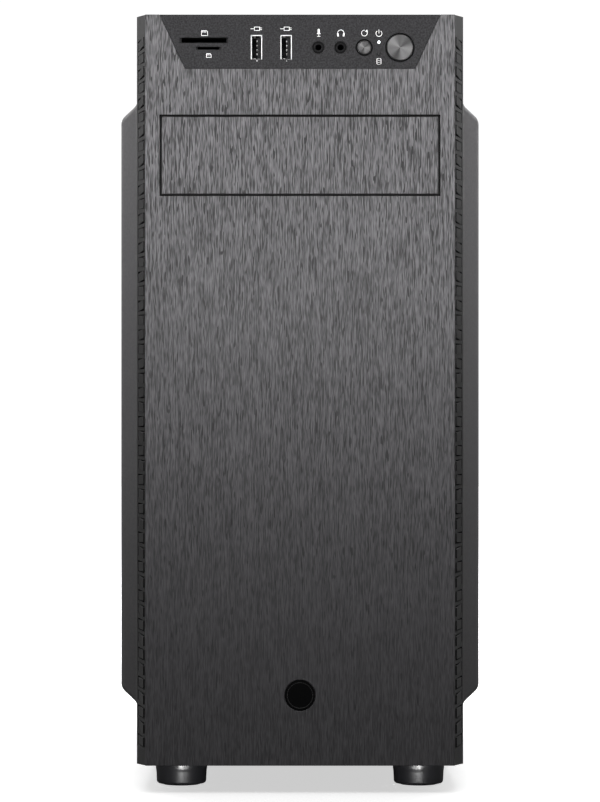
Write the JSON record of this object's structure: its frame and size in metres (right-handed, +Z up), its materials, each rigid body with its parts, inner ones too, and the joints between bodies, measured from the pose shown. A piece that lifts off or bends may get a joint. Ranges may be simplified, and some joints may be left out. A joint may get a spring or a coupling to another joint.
{
  "type": "desktop computer tower",
  "caption": "Slim ATX tower with brushed front, vented bezel sides, bulged side panels, ports and buttons at the top, board, cooler, cards, drives, fans and supply inside.",
  "frame": {"origin": "under the middle of the case, on the surface that the feet stand on", "axes": "+X to the right seen from the front, +Y towards the rear, +Z up; the front faces -Y"},
  "size_m": [0.2054, 0.465, 0.437],
  "materials": {
    "bezel_plastic": "satin moulded",
    "brushed_face": "vertical brushed-look film",
    "port_panel": "fine texture",
    "black_plastic": "satin",
    "black_gloss": "glossy",
    "spun_metal": "spun",
    "plated_steel": "nickel plated",
    "lamp": "clear light guide",
    "fibreglass": "solder-masked board",
    "coated_steel": "fine-texture powder coat",
    "bare_steel": "zinc plated",
    "alloy": "satin",
    "brass_post": "turned",
    "fan_black": "satin",
    "fan_blade": "satin",
    "pad_rubber": "matt",
    "cable_sleeve": "braided",
    "filter_plastic": "satin"
  },
  "bodies": {
    "tower": {"badge": "black_gloss", "board_components": "alloy", "board_heatsinks": "alloy", "board_sockets": "black_plastic", "board_standoffs": "brass_post", "button_rings": "black_gloss", "chassis_base": "coated_steel", "chassis_front": "coated_steel", "chassis_rear": "coated_steel", "chassis_roof": "coated_steel", "cooler_fan_frame": "fan_black", "cooler_heatsink": "alloy", "drive_cage": "coated_steel", "feet": "black_gloss", "foot_pads": "pad_rubber", "front_bezel": "bezel_plastic", "front_fan_frame": "fan_black", "front_io_board": "fibreglass", "front_plate": "brushed_face", "graphics_card_board": "fibreglass", "graphics_card_bracket": "bare_steel", "graphics_card_shroud": "black_plastic", "hard_drive": "alloy", "hard_drive_board": "fibreglass", "inner_screws": "plated_steel", "io_panel": "port_panel", "io_shield": "bare_steel", "louvre_left": "bezel_plastic", "louvre_right": "bezel_plastic", "mains_sockets": "black_plastic", "memory_modules": "fibreglass", "motherboard": "fibreglass", "motherboard_tray": "coated_steel", "optical_cage": "coated_steel", "port_housings": "black_plastic", "power_lead": "cable_sleeve", "power_plug": "black_plastic", "psu_case": "coated_steel", "psu_circuit": "fibreglass", "rear_fan_frame": "fan_black", "rear_ports": "plated_steel", "slot_covers": "bare_steel", "solid_state_drive": "black_plastic", "status_lights": "lamp", "usb_shells": "plated_steel"},
    "power_button_body": {"power_button": "spun_metal"},
    "reset_button_body": {"reset_button": "spun_metal"},
    "bay_blank": {"bay_cover": "brushed_face"},
    "left_panel": {"side_panel_left": "coated_steel", "thumbscrews_left": "black_plastic"},
    "right_panel": {"side_panel_right": "coated_steel", "thumbscrews_right": "black_plastic"},
    "filter": {"filter_tray": "filter_plastic"},
    "rocker": {"rocker_switch": "black_gloss"},
    "front_fan_wheel": {"front_fan_rotor": "fan_blade"},
    "rear_fan_wheel": {"rear_fan_rotor": "fan_blade"},
    "cooler_fan_wheel": {"cooler_fan_rotor": "fan_blade"},
    "supply_fan_wheel": {"psu_fan_rotor": "fan_blade"},
    "card_fan_wheel_a": {"graphics_fan_a": "fan_blade"},
    "card_fan_wheel_b": {"graphics_fan_b": "fan_blade"}
  },
  "joints": [
    {"name": "power_button_press", "type": "slide", "parent": "tower", "child": "power_button_body", "axis": [0, 1, 0], "range_m": [0, 0.0015], "stiffness_N_per_m": 800},
    {"name": "reset_button_press", "type": "slide", "parent": "tower", "child": "reset_button_body", "axis": [0, 1, 0], "range_m": [0, 0.001], "stiffness_N_per_m": 600},
    {"name": "bay_cover_pull", "type": "slide", "parent": "tower", "child": "bay_blank", "axis": [0, -1, 0], "range_m": [0, 0.03]},
    {"name": "left_panel_slide", "type": "slide", "parent": "tower", "child": "left_panel", "axis": [0, 1, 0], "range_m": [0, 0.42]},
    {"name": "right_panel_slide", "type": "slide", "parent": "tower", "child": "right_panel", "axis": [0, 1, 0], "range_m": [0, 0.42]},
    {"name": "filter_slide", "type": "slide", "parent": "tower", "child": "filter", "axis": [0, 1, 0], "range_m": [0, 0.132]},
    {"name": "psu_switch_rock", "type": "hinge", "parent": "tower", "child": "rocker", "pos_m": [-0.048, 0.2205, 0.0707], "axis": [1, 0, 0], "range_deg": [-16, 0]},
    {"name": "front_fan_spin", "type": "hinge", "parent": "tower", "child": "front_fan_wheel", "pos_m": [0, -0.1795, 0.0827], "axis": [0, 1, 0], "continuous": true},
    {"name": "rear_fan_spin", "type": "hinge", "parent": "tower", "child": "rear_fan_wheel", "pos_m": [-0.03, 0.2105, 0.349], "axis": [0, 1, 0], "continuous": true},
    {"name": "cooler_fan_spin", "type": "hinge", "parent": "tower", "child": "cooler_fan_wheel", "pos_m": [-0.023, 0.0835, 0.349], "axis": [0, 1, 0], "continuous": true},
    {"name": "psu_fan_spin", "type": "hinge", "parent": "tower", "child": "supply_fan_wheel", "pos_m": [0, 0.1525, 0.0247], "axis": [0, 0, 1], "continuous": true},
    {"name": "card_fan_a_spin", "type": "hinge", "parent": "tower", "child": "card_fan_wheel_a", "pos_m": [0.0035, 0.0384, 0.21399], "axis": [0, 0, 1], "continuous": true},
    {"name": "card_fan_b_spin", "type": "hinge", "parent": "tower", "child": "card_fan_wheel_b", "pos_m": [0.0035, 0.1418, 0.21399], "axis": [0, 0, 1], "continuous": true}
  ]
}
